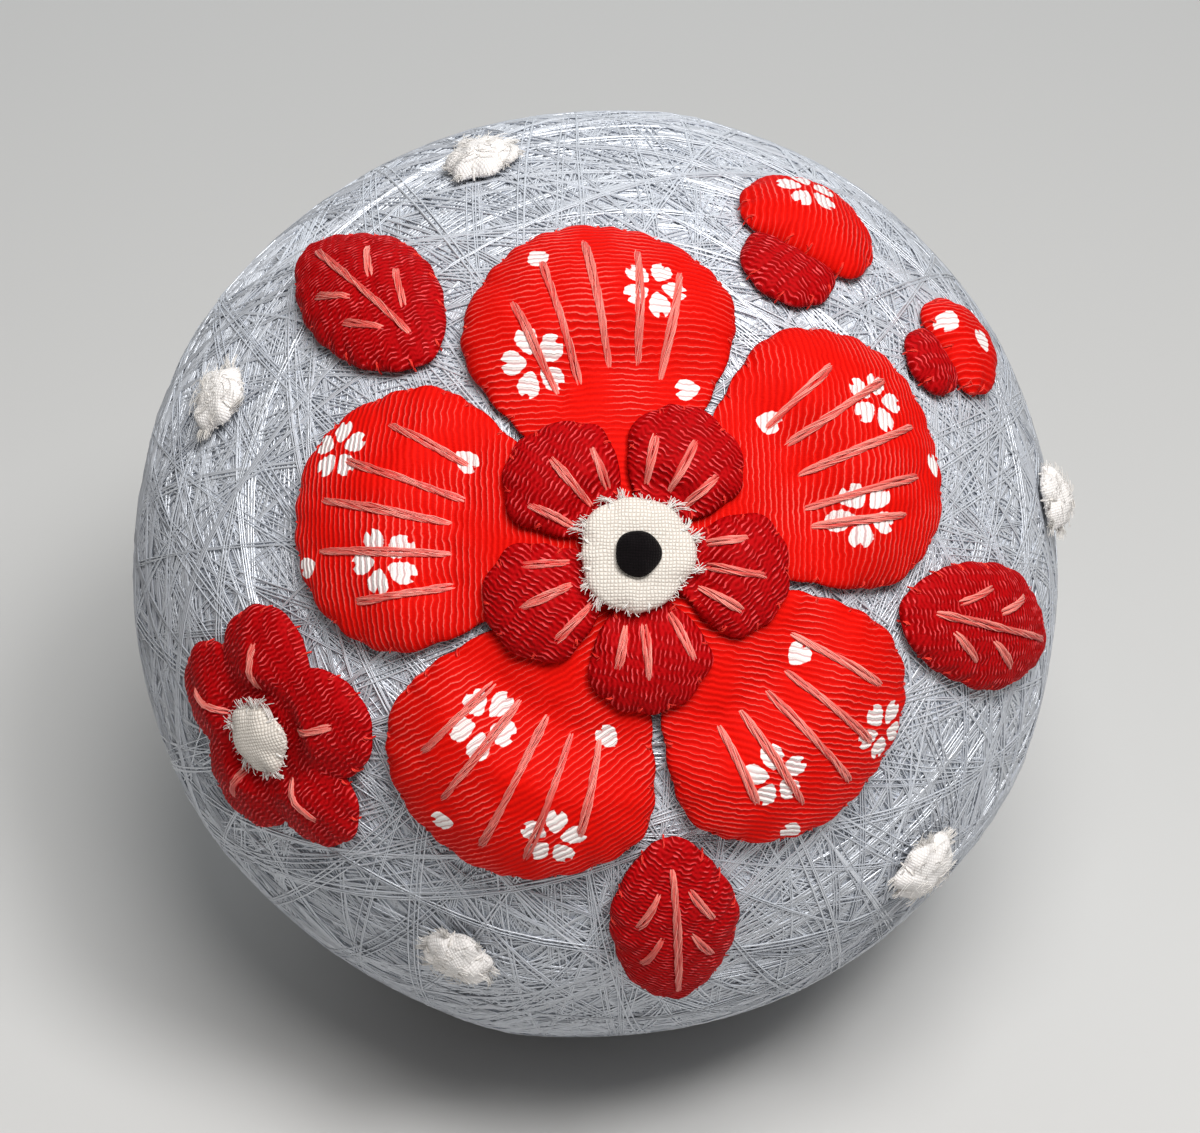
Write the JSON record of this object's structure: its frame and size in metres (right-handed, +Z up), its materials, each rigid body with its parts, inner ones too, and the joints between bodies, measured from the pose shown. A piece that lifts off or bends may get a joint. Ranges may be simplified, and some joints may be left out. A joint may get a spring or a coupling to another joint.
{
  "type": "temari ball",
  "caption": "Round thread-wound ball with padded cloth blossoms, leaves, buds and dots sewn to its front, resting on a small flat spot.",
  "frame": {"origin": "middle of the small flat spot on which the ball rests", "axes": "+Z up; the sewn design faces -Y and upwards; +X to the right as seen from the front"},
  "size_m": [0.0844, 0.0878, 0.0861],
  "materials": {
    "wound_thread": "pale blue-grey sewing thread wound in many layers",
    "printed_crepe": "bright red ribbed crepe with a small white blossom print",
    "plain_crepe": "plain crimson crepe with short broken ribs and a soft sheen",
    "cream_cloth": "cream plain-weave cloth with a frayed edge",
    "white_cotton": "white plain-weave cotton, padded, with a frayed edge",
    "black_silk": "black padded knot of matt silk"
  },
  "bodies": {
    "root": {"wound_ball": "wound_thread", "petal_1": "printed_crepe", "petal_2": "printed_crepe", "petal_3": "printed_crepe", "petal_4": "printed_crepe", "petal_5": "printed_crepe", "inner_petal_1": "plain_crepe", "inner_petal_2": "plain_crepe", "inner_petal_3": "plain_crepe", "inner_petal_4": "plain_crepe", "inner_petal_5": "plain_crepe", "blossom_middle": "cream_cloth", "blossom_knot": "black_silk", "leaf_1": "plain_crepe", "leaf_2": "plain_crepe", "leaf_3": "plain_crepe", "small_blossom": "plain_crepe", "small_middle": "cream_cloth", "bud_1": "printed_crepe", "bud_2": "printed_crepe", "calyx_1": "plain_crepe", "calyx_2": "plain_crepe", "dot_1": "white_cotton", "dot_2": "white_cotton", "dot_3": "white_cotton", "dot_4": "white_cotton", "dot_5": "white_cotton"}
  },
  "joints": []
}
